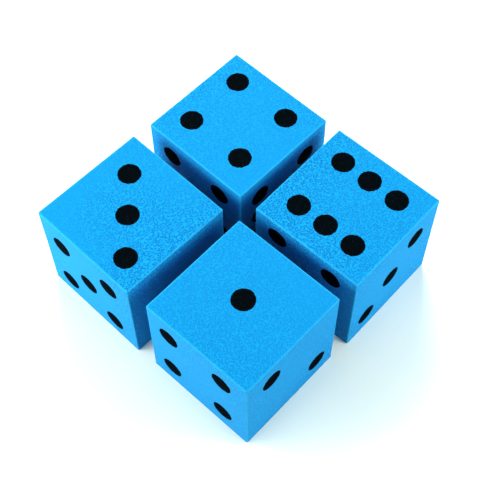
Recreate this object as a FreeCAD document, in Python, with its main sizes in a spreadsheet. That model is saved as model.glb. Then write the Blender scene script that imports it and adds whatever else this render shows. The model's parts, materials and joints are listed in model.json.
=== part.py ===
import FreeCAD, Part
import os
import Sketcher
from FreeCAD import Vector

# A set of four soft foam dice, lying close together as they were thrown.
# Millimetres, +Z up. The origin is on the floor, under the middle of the set.
# A die is one solid block of foam. Ink is printed on all six of its faces: each pip is a thin
# round layer where the ink has soaked into the foam, so it fills a shallow pocket in the block
# and lies flush with the face. All four dice have the same design and landed differently.

SIZES = {
    "edge_length": 50,      # a 2 inch cube
    "edge_rounding": 0.6,   # the soft edge that cutting leaves on foam
    "pip_diameter": 9.4,
    "pip_spacing": 13.25,   # from one row of pips to the next
    "ink_depth": 0.4,       # how deep the ink soaks in
}

# Where each die lies: the middle of its footprint, and its turn away from the set's common
# direction, in which every die stands with one vertical edge towards the front.
PLACES = {
    "front": {"x": -0.2, "y": -40.4, "turn": 0},
    "left": {"x": -41.4, "y": 0.55, "turn": -1.4},
    "right": {"x": 41.4, "y": 0, "turn": 0.65},
    "back": {"x": 1.1, "y": 40.4, "turn": -0.85},
}
COMMON_TURN = -45

# How each die landed: the axis and angle that turn the design, which has one up and two
# towards the right front, to the way it lies.
LANDINGS = {
    "front": (Vector(0, 0, 1), 0),      # one up
    "left": (Vector(1, 1, 1), 120),     # three up
    "right": (Vector(1, 1, 0), 180),    # six up
    "back": (Vector(-1, -1, 1), 120),   # four up
}

# The design. Opposite faces add up to seven. Each face is parallel to one of the body's origin
# planes, in front of it (1) or behind it (-1).
FACES = {
    "one": ("XY_Plane", 1),
    "two": ("YZ_Plane", 1),
    "three": ("XZ_Plane", -1),
    "four": ("XZ_Plane", 1),
    "five": ("YZ_Plane", -1),
    "six": ("XY_Plane", -1),
}

# The pips of each face, as grid places (across, along) about the middle of the print.
CORNERS = [(-1, -1), (-1, 1), (1, -1), (1, 1)]
MIDDLE = [(0, 0)]
DIAGONAL = [(-1, 1), (1, -1)]
LAYOUTS = {
    "one": MIDDLE,
    "two": DIAGONAL,
    "three": DIAGONAL + MIDDLE,
    "four": CORNERS,
    "five": CORNERS + MIDDLE,
    "six": CORNERS + [(-1, 0), (1, 0)],
}

# Hand printing is never quite centred: how far (across, along) each print sits off the middle.
PRINT_SHIFTS = {
    "front": {"one": (-0.75, 1), "two": (1.5, 0.5), "three": (0.5, -0.75),
              "four": (-1, 0.25), "five": (-0.5, 1), "six": (0.75, 0.5)},
    "left": {"one": (0.5, 0.5), "two": (-0.75, 1), "three": (-2, 0.5),
             "four": (1, -0.5), "five": (-1.5, -0.75), "six": (0.5, -1)},
    "right": {"one": (-1, 0.5), "two": (1, -0.5), "three": (-1.25, 0.25),
              "four": (0.5, 1.25), "five": (-0.5, -2.5), "six": (0.5, -0.5)},
    "back": {"one": (0.75, -1), "two": (-0.5, -0.75), "three": (1, 0.5),
             "four": (1.25, 1), "five": (-1, 0), "six": (-0.5, -0.25)},
}

ALL_EDGES = [f"Edge{number}" for number in range(1, 13)]


def all_dimensions():
    """Every driving dimension by its alias in the sheet."""
    dimensions = dict(SIZES)
    for die, place in PLACES.items():
        for key, value in place.items():
            dimensions[f"{die}_die_{key}"] = value
        for face, (across, along) in PRINT_SHIFTS[die].items():
            dimensions[f"{die}_{face}_across"] = across
            dimensions[f"{die}_{face}_along"] = along
    return dimensions


def add_sheet(doc):
    sheet = doc.addObject("Spreadsheet::Sheet", "dimensions")
    for row, (alias, value) in enumerate(all_dimensions().items(), start=1):
        sheet.set(f"A{row}", alias.replace("_", " "))
        sheet.set(f"B{row}", str(value))
        sheet.setAlias(f"B{row}", alias)
    doc.recompute()


def origin_plane(body, role):
    return next(plane for plane in body.Origin.OriginFeatures if plane.Role == role)


def add_sketch(body, name, role):
    sketch = body.newObject("Sketcher::SketchObject", name)
    sketch.AttachmentSupport = [(origin_plane(body, role), "")]
    sketch.MapMode = "FlatFace"
    return sketch


def constrain(sketch, name, constraint, formula):
    """Adds a dimension to a sketch and binds it to the sheet."""
    index = sketch.addConstraint(constraint)
    sketch.renameConstraint(index, name)
    sketch.setExpression(f"Constraints.{name}", formula)


def add_body(doc, label, die):
    """An empty body in its die's place, turned the way the die landed."""
    body = doc.addObject("PartDesign::Body", label)
    body.Label = label
    axis, angle = LANDINGS[die]
    where = f"vector(dimensions.{die}_die_x; dimensions.{die}_die_y; dimensions.edge_length / 2)"
    turned = f"rotation(vector(0; 0; 1); {COMMON_TURN} + dimensions.{die}_die_turn)"
    landed = f"rotation(vector({axis.x}; {axis.y}; {axis.z}); {angle})"
    body.setExpression("Placement", f"placement({where}; {turned} * {landed})")
    return body


def draw_square(sketch):
    """A square about the origin, one edge length wide."""
    half = SIZES["edge_length"] / 2
    corners = [Vector(x, y, 0) for x, y in ((-half, -half), (half, -half), (half, half), (-half, half))]
    for start, end in zip(corners, corners[1:] + corners[:1]):
        sketch.addGeometry(Part.LineSegment(start, end), False)
    for side in range(4):
        sketch.addConstraint(Sketcher.Constraint("Coincident", side, 2, (side + 1) % 4, 1))
    for side in (0, 2):
        sketch.addConstraint(Sketcher.Constraint("Horizontal", side))
        sketch.addConstraint(Sketcher.Constraint("Vertical", side + 1))
    sketch.addConstraint(Sketcher.Constraint("Symmetric", 0, 1, 2, 1, -1, 1))
    for side, name in enumerate(("width", "height")):
        constrain(sketch, name, Sketcher.Constraint("Distance", side, 2 * half), "dimensions.edge_length")


def add_print_sketch(body, die, face):
    """The circles of one face's pips, drawn on the face."""
    role, side = FACES[face]
    sketch = add_sketch(body, f"{body.Name}_{face}_print", role)
    sketch.setExpression("AttachmentOffset.Base.z", f"{side} * dimensions.edge_length / 2")
    spacing, radius = SIZES["pip_spacing"], SIZES["pip_diameter"] / 2
    for pip, grid_place in enumerate(LAYOUTS[face]):
        centre = Vector(grid_place[0] * spacing, grid_place[1] * spacing, 0)
        sketch.addGeometry(Part.Circle(centre, Vector(0, 0, 1), radius), False)
        for kind, way, steps in zip(("DistanceX", "DistanceY"), ("across", "along"), grid_place):
            distance = Sketcher.Constraint(kind, -1, 1, pip, 3, steps * spacing)
            shift = f"dimensions.{die}_{face}_{way}"
            constrain(sketch, f"{way}_{pip}", distance, f"{steps} * dimensions.pip_spacing + {shift}")
        diameter = Sketcher.Constraint("Diameter", pip, 2 * radius)
        constrain(sketch, f"diameter_{pip}", diameter, "dimensions.pip_diameter")
    return sketch


def add_foam(doc, die):
    """The block of foam, with a shallow pocket for each pip."""
    body = add_body(doc, f"{die}_die_foam", die)
    square = add_sketch(body, f"{die}_square", "XY_Plane")
    draw_square(square)
    block = body.newObject("PartDesign::Pad", f"{die}_block")
    block.Profile = square
    block.Midplane = True
    block.setExpression("Length", "dimensions.edge_length")
    doc.recompute()
    rounding = body.newObject("PartDesign::Fillet", f"{die}_rounding")
    rounding.Base = (block, ALL_EDGES)
    rounding.setExpression("Radius", "dimensions.edge_rounding")
    doc.recompute()
    for face in FACES:
        uncut = body.Shape.Volume
        pocket = body.newObject("PartDesign::Pocket", f"{die}_{face}_pockets")
        pocket.Profile = add_print_sketch(body, die, face)
        pocket.Reversed = FACES[face][1] < 0
        pocket.setExpression("Length", "dimensions.ink_depth")
        body.Tip = pocket
        doc.recompute()
        if uncut - body.Shape.Volume < 0.99 * ink_volume(face):
            raise RuntimeError(f"the pockets for {face} on the {die} die cut too little")
    return body


def add_pips(doc, die, face):
    """The ink on one face: a thin disc for each pip, which fills its pocket."""
    plural = "pip" if face == "one" else "pips"
    body = add_body(doc, f"{die}_die_{face}_{plural}", die)
    ink = body.newObject("PartDesign::Pad", f"{die}_{face}_ink")
    ink.Profile = add_print_sketch(body, die, face)
    ink.Reversed = FACES[face][1] > 0
    ink.setExpression("Length", "dimensions.ink_depth")
    return body


def ink_volume(face):
    """The volume of all the ink on one face."""
    disc = Part.makeCylinder(SIZES["pip_diameter"] / 2, SIZES["ink_depth"])
    return len(LAYOUTS[face]) * disc.Volume


def check(doc, bodies):
    """Stops if any object failed, a shape is bad, or a face has the wrong amount of ink."""
    for item in doc.Objects:
        if "Invalid" in item.State or "Error" in item.State:
            raise RuntimeError(f"{item.Label} is {item.State}")
    for body in bodies:
        if body.Shape.isNull() or not body.Shape.isValid():
            raise RuntimeError(f"{body.Label} has a bad shape")
    for body in bodies:
        for face in FACES:
            if f"_{face}_pip" in body.Label and abs(body.Shape.Volume - ink_volume(face)) > 0.01:
                raise RuntimeError(f"{body.Label} has {body.Shape.Volume} mm3 of ink")


def write_steps(bodies):
    os.makedirs("parts", exist_ok=True)
    for body in bodies:
        body.Shape.exportStep(f"parts/{body.Label}.step")


def main():
    doc = FreeCAD.newDocument("foam_dice")
    add_sheet(doc)
    bodies = []
    for die in PLACES:
        bodies.append(add_foam(doc, die))
        for face in FACES:
            bodies.append(add_pips(doc, die, face))
    doc.recompute()
    check(doc, bodies)
    write_steps(bodies)
    whole = Part.makeCompound([body.Shape for body in bodies])
    print(len(bodies), "nodes,", len(whole.Solids), "solids, box", whole.BoundBox)


main()
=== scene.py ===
import itertools
import json
import math

import bpy
import numpy as np
from mathutils import Matrix, Vector

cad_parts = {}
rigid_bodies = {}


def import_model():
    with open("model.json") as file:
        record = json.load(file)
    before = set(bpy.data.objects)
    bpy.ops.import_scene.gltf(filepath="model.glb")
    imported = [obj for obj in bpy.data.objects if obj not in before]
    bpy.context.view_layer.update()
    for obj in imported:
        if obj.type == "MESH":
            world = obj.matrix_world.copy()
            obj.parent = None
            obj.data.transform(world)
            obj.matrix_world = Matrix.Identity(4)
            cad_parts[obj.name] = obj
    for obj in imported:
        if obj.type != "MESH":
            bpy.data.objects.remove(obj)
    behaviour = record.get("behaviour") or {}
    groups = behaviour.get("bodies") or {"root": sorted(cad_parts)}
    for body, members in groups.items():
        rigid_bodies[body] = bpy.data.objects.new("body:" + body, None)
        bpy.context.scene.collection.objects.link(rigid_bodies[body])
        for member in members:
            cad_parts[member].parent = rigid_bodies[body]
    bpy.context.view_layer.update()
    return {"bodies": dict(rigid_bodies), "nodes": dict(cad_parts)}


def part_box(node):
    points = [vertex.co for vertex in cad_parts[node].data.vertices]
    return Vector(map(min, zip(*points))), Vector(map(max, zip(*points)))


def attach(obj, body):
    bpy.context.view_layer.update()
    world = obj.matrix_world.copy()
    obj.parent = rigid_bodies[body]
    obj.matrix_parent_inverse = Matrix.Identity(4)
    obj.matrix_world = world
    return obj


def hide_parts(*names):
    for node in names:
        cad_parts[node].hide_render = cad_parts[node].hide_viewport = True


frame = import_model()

# Four soft foam dice with printed pips. Each foam block is a dense mesh with the dents and waves
# of cut foam on every face, and its material adds the finer cells. Each pip is a thin skin of
# matte ink that follows the mesh.
# Lengths are in metres. A die's mesh is made in the die's own axes: Z towards face one, X towards
# face two and Y towards face three, with the die's middle at zero.

MM = 0.001
FACES = ("one", "two", "three", "four", "five", "six")

# Foam
ROUNDING = 0.6 * MM         # the soft edge of the cube
ROUNDING_STEPS = 3          # mesh steps across each half of that edge
FLAT_STEPS = 122            # mesh steps across the flat of a face
DENT_SIZE = 1.3 * MM        # from one large foam cell to the next, as the mesh has them
DENT_DEPTH = 0.07 * MM
SWELL_SIZE = 9 * MM         # the faint waviness of a cut face
SWELL_DEPTH = 0.10 * MM
CELL_SIZE = 0.72 * MM       # from one small foam cell to the next, as the material has them
CUT_SIZE = 34 * MM          # how wide a stretch of closely or openly cut cells is
CUT_CONTRAST = 1.1          # how sharply closely and openly cut stretches are told apart
LEAST_CONTRAST = 0.22       # how strongly the cells still show where they are closely cut
GRAIN_SIZE = 0.35 * MM      # the finest grain of foam and ink
MOTTLE_SIZE = 6 * MM        # the faint blotches in the foam's colour
FOAM_BUMP = 0.15 * MM
HIGHLIGHT_WIDTH = 0.7 * MM       # how far the painted highlight reaches in from an edge

# Ink
INK_THICKNESS = 0.25 * MM   # how far the skin of ink goes into the foam
INK_PROUD = 0.03 * MM
INK_RINGS = 16
INK_SPOKES = 96
INK_RAGGED = 0.22 * MM      # how far the outline strays from a circle
RAGGED_SIZES = (0.9 * MM, 0.5 * MM)
INK_BUMP = 0.10 * MM
BED_DEPTH = 0.2 * MM        # how far the foam is pressed in under the ink
BED_MARGIN = 0.3 * MM       # the bed starts this far inside the ink's edge
BED_SLOPE = 0.4 * MM

# Colours, as linear red, green, blue and alpha
WALL_BLUE = (0.005, 0.325, 0.68, 1)
# The next colour is painted shade, the darker blue of the shaded hollows of the foam's cells
SHADED_PORE_BLUE = (0.001, 0.125, 0.34, 1)
# The next colour is a painted highlight along the cube's rounded edges
EDGE_HIGHLIGHT_BLUE = (0.02, 0.38, 0.68, 1)
MOTTLE = (0.9, 0.93, 0.97, 1)
INK_BLACK = (0.0008, 0.002, 0.0028, 1)
INK_THIN = (0.004, 0.012, 0.025, 1)
PAPER_WHITE = (0.78, 0.905, 0.85, 1)
SHEEN_TINT = (0.45, 0.75, 1, 1)

# Camera: place over the front die's foot in edge lengths; azimuth, elevation and roll in degrees
CAMERA_PLACE = (-0.106, -3.62, 8.039)
CAMERA_ANGLES = (-1.53, 60.01, -0.73)
CAMERA_LENS = 78.7          # for a 36 mm sensor

FLOOR_RADIUS = 6.5          # in edge lengths
CAP_TOLERANCE = 0.01 * MM   # how level the outer faces of a print's discs are
FLOOR_SIDES = 128
WORLD_STRENGTH = 0.01
BACKDROP_STRENGTH = 1

# Which stretch of the cut pattern each die has, picked by trial so that the openly cut patches
# lie where they do on the real dice
CUT_SEEDS = {"back_die": 3863, "front_die": 5906, "left_die": 5939, "right_die": 2612}

HASH_PRIMES = (73856093, 19349663, 83492791)
RANDOM_TABLE = np.random.default_rng(11).random((8191, 3))


# ---------------------------------------------------------------- relief of the foam

def hashed(cells):
    """Three numbers from 0 to 1 for each row of whole numbers, always the same for the same row."""
    mixed = cells[:, 0] * HASH_PRIMES[0] ^ cells[:, 1] * HASH_PRIMES[1] ^ cells[:, 2] * HASH_PRIMES[2]
    return RANDOM_TABLE[mixed % len(RANDOM_TABLE)]


def cell_distance(points, size):
    """How far each point is from the middle of the nearest foam cell, in cell sizes."""
    scaled = points / size
    home = np.floor(scaled).astype(np.int64)
    nearest = np.full(len(points), 9.0)
    for step in itertools.product((-1, 0, 1), repeat=3):
        cell = home + step
        away = scaled - cell - hashed(cell)
        nearest = np.minimum(nearest, np.einsum("ij,ij->i", away, away))
    return np.sqrt(nearest)


def smooth_noise(points, size):
    """Smooth noise from -1 to 1 with features of the given size."""
    scaled = points / size
    home = np.floor(scaled).astype(np.int64)
    part = scaled - home
    part = part * part * (3 - 2 * part)
    total = np.zeros(len(points))
    for corner in itertools.product((0, 1), repeat=3):
        weight = np.prod(np.where(corner, part, 1 - part), axis=1)
        total += weight * hashed(home + corner)[:, 0]
    return 2 * total - 1


def open_cut(points, die):
    """How openly the foam's cells are cut, from 0 where they hardly show to 1."""
    return np.clip(0.5 + CUT_CONTRAST * smooth_noise(points + die.cut_seed, CUT_SIZE), 0, 1)


def relief(points, die):
    """Height of the foam's surface over the plain cube."""
    walls = np.clip(cell_distance(points + die.seed, DENT_SIZE), 0, 1)
    dents = DENT_DEPTH * (walls - 1) * (0.5 + open_cut(points, die)) / 1.5
    swell = (smooth_noise(points + die.seed, SWELL_SIZE) - 1) / 2
    return dents + SWELL_DEPTH * swell


# ---------------------------------------------------------------- the dice as the frame has them

def outward_normal(node, middle):
    """The way an ink node's discs look: at right angles to them, away from the die's middle."""
    biggest = max(frame["nodes"][node].data.polygons, key=lambda polygon: polygon.area)
    normal = biggest.normal.copy()
    lowest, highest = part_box(node)
    return normal if normal.dot((lowest + highest) / 2 - middle) > 0 else -normal


def joined_groups(polygons):
    """The vertex numbers of each group of polygons that share vertices."""
    groups = []
    for polygon in polygons:
        mine = set(polygon.vertices)
        for group in [group for group in groups if group & mine]:
            mine |= group
            groups.remove(group)
        groups.append(mine)
    return groups


def disc_caps(node, normal, middle):
    """The middle of the outer face of each disc in an ink node, and the discs' radius."""
    mesh = frame["nodes"][node].data
    level = max((vertex.co - middle).dot(normal) for vertex in mesh.vertices)
    level -= CAP_TOLERANCE
    facing = [polygon for polygon in mesh.polygons if (polygon.center - middle).dot(normal) > level]
    centres = []
    for group in joined_groups(facing):
        rim = [mesh.vertices[number].co for number in group]
        centre = sum(rim, Vector()) / len(rim)
        centres.append(centre)
    return centres, max((point - centre).length for point in rim)


class Die:
    """What the frame says about one die: its edge length, its place, and the pips of each face."""

    def __init__(self, body, number):
        self.body = body
        self.foam_node = f"{body}_foam"
        self.ink_nodes = {face: f"{body}_{face}_pip{'' if face == 'one' else 's'}" for face in FACES}
        lowest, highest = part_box(self.foam_node)
        self.edge = highest.z - lowest.z
        middle = (lowest + highest) / 2
        normals = {face: outward_normal(node, middle) for face, node in self.ink_nodes.items()}
        axes = Matrix([normals[face] for face in ("two", "three", "one")])
        self.place = Matrix.Translation(middle) @ axes.transposed().to_4x4()
        self.normals = {face: (axes @ normal).normalized() for face, normal in normals.items()}
        self.seed = np.array((0.31, 0.17, 0.23)) * (number + 1)
        self.cut_seed = CUT_SIZE * CUT_SEEDS[body] * np.array((3, 5, 7))
        self.pips = {}
        for face, node in self.ink_nodes.items():
            centres, self.pip_radius = disc_caps(node, normals[face], middle)
            self.pips[face] = [axes @ (centre - middle) for centre in centres]


# ---------------------------------------------------------------- foam blocks

def edge_steps(edge):
    """Mesh places along a cube's edge: even across the flat, and close together in the rounding."""
    flat = edge / 2 - ROUNDING
    across = np.linspace(-flat, flat, FLAT_STEPS + 1)
    bend = ROUNDING * np.tan(np.linspace(0, math.pi / 4, ROUNDING_STEPS + 1)[1:])
    return np.concatenate((-flat - bend[::-1], across, flat + bend))


def cube_grid(count):
    """The grid places on a cube's surface as whole numbers, and the quads between them, facing out."""
    first, second = np.meshgrid(np.arange(count), np.arange(count), indexing="ij")
    keys = []
    for axis in range(3):
        for end in (0, count - 1):
            side = [None] * 3
            side[axis] = np.full_like(first, end)
            side[(axis + 1) % 3] = first if end else second
            side[(axis + 2) % 3] = second if end else first
            keys.append(side[0] + count * side[1] + count**2 * side[2])
    keys, numbers = np.unique(np.array(keys), return_inverse=True)
    numbers = numbers.reshape(6, count, count)
    around = (numbers[:, :-1, :-1], numbers[:, 1:, :-1], numbers[:, 1:, 1:], numbers[:, :-1, 1:])
    quads = np.stack(around, axis=-1).reshape(-1, 4)
    places = np.stack((keys % count, keys // count % count, keys // count**2), axis=-1)
    return places, quads


def ink_beds(points, die):
    """How far the foam is pressed in under the ink at each point."""
    depth = np.zeros(len(points))
    for centre in itertools.chain.from_iterable(die.pips.values()):
        away = np.linalg.norm(points - np.array(centre), axis=1)
        inside = (die.pip_radius - BED_MARGIN - away) / BED_SLOPE
        depth = np.maximum(depth, BED_DEPTH * np.clip(inside, 0, 1))
    return depth


def new_mesh(name, points, polygons):
    mesh = bpy.data.meshes.new(name)
    mesh.from_pydata(np.asarray(points).tolist(), [], [list(map(int, polygon)) for polygon in polygons])
    mesh.validate()
    mesh.shade_smooth()
    return mesh


def add_attribute(mesh, name, values):
    mesh.attributes.new(name, "FLOAT", "POINT").data.foreach_set("value", values.astype(np.float32))


def add_piece(name, mesh, material, die, nodes):
    """Puts a piece where its die is, riding on the die's body in place of its CAD nodes."""
    piece = bpy.data.objects.new(name, mesh)
    bpy.context.scene.collection.objects.link(piece)
    piece.data.materials.append(material)
    piece.matrix_world = die.place
    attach(piece, die.body)
    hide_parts(*nodes)
    return piece


def add_foam(die, material):
    """The block: a softly rounded cube with the relief of cut foam, pressed in under the ink."""
    steps = edge_steps(die.edge)
    places, quads = cube_grid(len(steps))
    cube = steps[places]
    flat = die.edge / 2 - ROUNDING
    core = np.clip(cube, -flat, flat)
    normals = cube - core
    normals /= np.linalg.norm(normals, axis=1)[:, None]
    smooth = core + ROUNDING * normals
    heights = relief(smooth, die) - ink_beds(smooth, die)
    mesh = new_mesh(f"{die.body}_foam_block", smooth + normals * heights[:, None], quads)
    add_attribute(mesh, "open_cut", open_cut(smooth, die))
    # A mask for the painted highlight along the rounded edges, strongest at the edge itself
    from_edges = np.sort(die.edge / 2 - np.abs(smooth), axis=1)[:, 1]
    add_attribute(mesh, "edge_highlight", np.clip(1.5 - 1.5 * from_edges / HIGHLIGHT_WIDTH, 0, 1))
    piece = add_piece(f"{die.body}_foam_block", mesh, material, die, [die.foam_node])


# ---------------------------------------------------------------- ink

def ink_disc(die, centre, normal):
    """One pip: a thin closed skin with a slightly ragged outline, which follows the foam's relief."""
    across = Vector((normal.y, normal.z, normal.x))
    along = normal.cross(across)
    turns = np.linspace(0, 2 * math.pi, INK_SPOKES, endpoint=False)
    rays = np.outer(np.cos(turns), across) + np.outer(np.sin(turns), along)
    rim = np.array(centre) + die.pip_radius * rays
    stray = sum(smooth_noise(rim + die.seed, size) for size in RAGGED_SIZES) / len(RAGGED_SIZES)
    reach = die.pip_radius + INK_RAGGED * stray
    shares = np.arange(1, INK_RINGS + 1) / INK_RINGS
    rings = np.array(centre) + (shares[:, None, None] * reach[None, :, None]) * rays[None, :, :]
    top = np.vstack((np.array(centre)[None, :], rings.reshape(-1, 3)))
    heights = relief(top, die)
    heights[:-INK_SPOKES] += INK_PROUD
    top = top + np.outer(heights, normal)
    under_rim = rings[-1] - INK_THICKNESS * np.array(normal)
    under_middle = np.array(centre) - INK_THICKNESS * np.array(normal)
    points = np.vstack((top, under_rim, under_middle[None, :]))
    polygons = []
    for spoke in range(INK_SPOKES):
        following = (spoke + 1) % INK_SPOKES
        polygons.append((0, 1 + spoke, 1 + following))
        for ring in range(INK_RINGS):
            inner, outer = 1 + ring * INK_SPOKES, 1 + (ring + 1) * INK_SPOKES
            polygons.append((inner + spoke, outer + spoke, outer + following, inner + following))
        polygons.append((len(points) - 1, outer + following, outer + spoke))
    return points, polygons


def add_ink(die, face, material):
    """All the pips of one face, as one piece of separate skins."""
    points, polygons = [], []
    for centre in die.pips[face]:
        start = sum(map(len, points))
        disc, disc_polygons = ink_disc(die, centre, die.normals[face])
        points.append(disc)
        polygons += [[start + number for number in polygon] for polygon in disc_polygons]
    name = f"{die.body}_ink_{face}"
    mesh = new_mesh(name, np.vstack(points), polygons)
    add_piece(name, mesh, material, die, [die.ink_nodes[face]])


# ---------------------------------------------------------------- materials

class Shader:
    """A node material, built up from its Principled shader."""

    def __init__(self, name):
        self.material = bpy.data.materials.new(name)
        self.material.use_nodes = True
        self.tree = self.material.node_tree
        self.surface = self.tree.nodes["Principled BSDF"]

    def set(self, **values):
        for name, value in values.items():
            self.surface.inputs[name.replace("_", " ")].default_value = value

    def link(self, output, socket):
        self.tree.links.new(output, socket)

    def node(self, kind, **inputs):
        made = self.tree.nodes.new(kind)
        for name, value in inputs.items():
            socket = made.inputs[name.replace("_", " ")]
            if isinstance(value, bpy.types.NodeSocket):
                self.link(value, socket)
            else:
                socket.default_value = value
        return made

    def math(self, operation, first, second):
        made = self.tree.nodes.new("ShaderNodeMath")
        made.operation = operation
        for socket, value in zip(made.inputs, (first, second)):
            if isinstance(value, bpy.types.NodeSocket):
                self.link(value, socket)
            else:
                socket.default_value = value
        return made.outputs[0]

    def noise(self, size, detail):
        """Noise from 0 to 1 with features of the given size, fixed to the piece."""
        place = self.tree.nodes.new("ShaderNodeTexCoord").outputs["Object"]
        return self.node("ShaderNodeTexNoise", Vector=place, Scale=1 / size, Detail=detail).outputs["Fac"]

    def spread(self, value, low, high, new_low=0.0, new_high=1.0):
        """value, with low to high stretched to new_low to new_high."""
        return self.node("ShaderNodeMapRange", Value=value, From_Min=low, From_Max=high,
                         To_Min=new_low, To_Max=new_high).outputs["Result"]

    def mix(self, share, first, second, blend="MIX"):
        made = self.tree.nodes.new("ShaderNodeMix")
        made.data_type = "RGBA"
        made.blend_type = blend
        for name, value in (("Factor_Float", share), ("A_Color", first), ("B_Color", second)):
            socket = next(entry for entry in made.inputs if entry.identifier == name)
            if isinstance(value, bpy.types.NodeSocket):
                self.link(value, socket)
            else:
                socket.default_value = value
        return next(entry for entry in made.outputs if entry.identifier == "Result_Color")

    def bump(self, height, distance, strength):
        made = self.node("ShaderNodeBump", Height=height, Distance=distance, Strength=strength)
        return made.outputs["Normal"]

    def attribute(self, name):
        """A number that the mesh has at each point."""
        made = self.tree.nodes.new("ShaderNodeAttribute")
        made.attribute_name = name
        return made.outputs["Fac"]

    def cells(self, size):
        """How far it is to the middle of the nearest foam cell, in cell sizes."""
        place = self.tree.nodes.new("ShaderNodeTexCoord").outputs["Object"]
        return self.node("ShaderNodeTexVoronoi", Vector=place, Scale=1 / size).outputs["Distance"]


def foam_material():
    shader = Shader("azure_foam")
    contrast = shader.spread(shader.attribute("open_cut"), 0, 1, LEAST_CONTRAST, 1)
    cells = shader.cells(CELL_SIZE)
    grain = shader.noise(GRAIN_SIZE, detail=2)
    walls = shader.math("ADD", cells, shader.spread(grain, 0.3, 0.7, -0.15, 0.15))
    # Painted shade in the cells' hollows: the colour darkens where the cells are deep, the more so where
    # they are openly cut
    depth = shader.math("MULTIPLY", shader.spread(walls, 0.25, 0.85, 0.5, -0.5), contrast)
    colour = shader.mix(shader.math("ADD", depth, 0.5), WALL_BLUE, SHADED_PORE_BLUE)
    mottle = shader.spread(shader.noise(MOTTLE_SIZE, detail=3), 0.3, 0.7, 0.0, 0.35)
    colour = shader.mix(mottle, colour, shader.mix(1.0, colour, MOTTLE, "MULTIPLY"))
    # Painted highlight: a lighter blue along the rounded edges, broken up by the grain
    highlight_mask = shader.math("MULTIPLY", shader.attribute("edge_highlight"), shader.spread(grain, 0.3, 0.6, 0.4, 1))
    colour = shader.mix(highlight_mask, colour, EDGE_HIGHLIGHT_BLUE)
    shader.link(colour, shader.surface.inputs["Base Color"])
    shader.link(shader.spread(grain, 0.3, 0.7, 0.72, 0.95), shader.surface.inputs["Roughness"])
    height = shader.math("MULTIPLY", walls, contrast)
    shader.link(shader.bump(height, FOAM_BUMP, 0.9), shader.surface.inputs["Normal"])
    shader.set(Specular_IOR_Level=0.04, Sheen_Weight=0.13, Sheen_Roughness=0.4, Sheen_Tint=SHEEN_TINT)
    return shader.material


def ink_material():
    shader = Shader("matte_black_ink")
    cells = shader.cells(CELL_SIZE)
    grain = shader.noise(GRAIN_SIZE, detail=2)
    bare = shader.spread(shader.math("ADD", grain, cells), 0.75, 0.5)
    shader.link(shader.mix(bare, INK_BLACK, INK_THIN), shader.surface.inputs["Base Color"])
    rough = shader.spread(grain, 0.3, 0.7, 0.6, 0.9)
    shader.link(rough, shader.surface.inputs["Roughness"])
    shader.link(shader.bump(cells, INK_BUMP, 0.7), shader.surface.inputs["Normal"])
    shader.set(Specular_IOR_Level=0.002)
    return shader.material


# ---------------------------------------------------------------- floor, light and camera

def add_floor():
    """A round sheet of white paper, small enough to be bright right up to its rim."""
    turns = np.linspace(0, 2 * math.pi, FLOOR_SIDES, endpoint=False)
    rim = FLOOR_RADIUS * EDGE * np.column_stack((np.cos(turns), np.sin(turns), np.zeros(FLOOR_SIDES)))
    floor = bpy.data.objects.new("floor", new_mesh("floor", rim, [range(FLOOR_SIDES)]))
    shader = Shader("white_paper")
    shader.set(Base_Color=PAPER_WHITE, Roughness=0.9, Specular_IOR_Level=0.2)
    floor.data.materials.append(shader.material)
    bpy.context.scene.collection.objects.link(floor)


def add_light(name, azimuth, elevation, distance, size, power):
    """A soft square light, aimed at the set. Azimuth runs from the front towards the right.

    Distance and size are in edge lengths, and power is in watts.
    """
    light = bpy.data.lights.new(name, "AREA")
    light.shape = "SQUARE"
    light.size = size * EDGE
    light.energy = power
    placed = bpy.data.objects.new(name, light)
    turn, rise = math.radians(azimuth), math.radians(elevation)
    away = Vector((math.sin(turn) * math.cos(rise), -math.cos(turn) * math.cos(rise), math.sin(rise)))
    placed.location = away * distance * EDGE
    placed.rotation_euler = away.to_track_quat("Z", "Y").to_euler()
    placed.visible_camera = False
    bpy.context.scene.collection.objects.link(placed)


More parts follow.
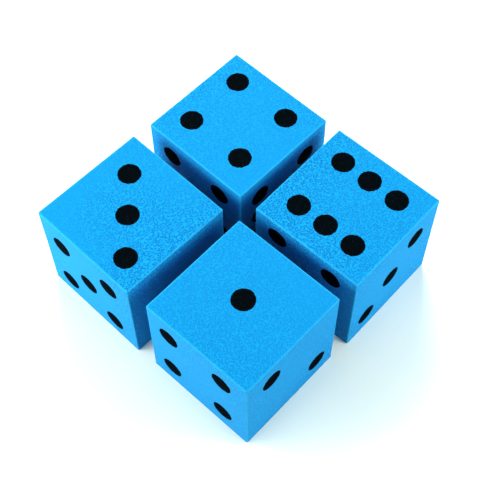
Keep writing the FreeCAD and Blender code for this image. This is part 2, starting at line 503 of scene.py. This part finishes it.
def add_world():
    """A white backdrop, which the camera sees but which lights the dice only faintly."""
    world = bpy.data.worlds.new("studio")
    world.use_nodes = True
    nodes = world.node_tree.nodes
    ray = nodes.new("ShaderNodeLightPath")
    strength = nodes.new("ShaderNodeMapRange")
    strength.inputs["To Min"].default_value = WORLD_STRENGTH
    strength.inputs["To Max"].default_value = BACKDROP_STRENGTH
    background = nodes["Background"]
    background.inputs["Color"].default_value = (1, 1, 1, 1)
    world.node_tree.links.new(ray.outputs["Is Camera Ray"], strength.inputs["Value"])
    world.node_tree.links.new(strength.outputs["Result"], background.inputs["Strength"])
    bpy.context.scene.world = world


def add_camera(front):
    """A camera over the front die's vertical edge, looking steeply down at the set."""
    azimuth, elevation, roll = (math.radians(angle) for angle in CAMERA_ANGLES)
    ahead = Vector((-math.sin(azimuth) * math.cos(elevation), math.cos(azimuth) * math.cos(elevation),
                    -math.sin(elevation)))
    right = Vector((math.cos(azimuth), math.sin(azimuth), 0))
    up = right.cross(ahead)
    rolled_right = math.cos(roll) * right + math.sin(roll) * up
    rolled_up = math.cos(roll) * up - math.sin(roll) * right
    turned = Matrix((rolled_right, rolled_up, -ahead)).transposed().to_4x4()
    foot = front.place.translation - Vector((0, 0, front.edge / 2))
    camera = bpy.data.objects.new("camera", bpy.data.cameras.new("camera"))
    camera.matrix_world = Matrix.Translation(foot + EDGE * Vector(CAMERA_PLACE)) @ turned
    camera.data.lens = CAMERA_LENS
    camera.data.clip_start = 0.1 * EDGE
    camera.data.clip_end = 200 * EDGE
    bpy.context.scene.collection.objects.link(camera)
    bpy.context.scene.camera = camera


# ---------------------------------------------------------------- the scene

dice = [Die(body, number) for number, body in enumerate(sorted(frame["bodies"]))]
EDGE = dice[0].edge

azure_foam = foam_material()
black_ink = ink_material()
for die in dice:
    add_foam(die, azure_foam)
    for face in FACES:
        add_ink(die, face, black_ink)

add_floor()
add_light("left_strip", -90, 17, 9, 5, 3.1)
add_light("front_left_box", -60, 35, 14, 8, 2.3)
add_light("right_strip", 80, 15, 9, 5, 1.6)
add_light("front_right_box", 60, 35, 14, 8, 2.6)
add_light("back_box", 180, 42, 12, 6, 4.3)
add_light("overhead", 0, 88, 12, 6, 0.8)
add_world()
add_camera(next(die for die in dice if die.body == "front_die"))

scene = bpy.context.scene
scene.view_settings.view_transform = "Standard"
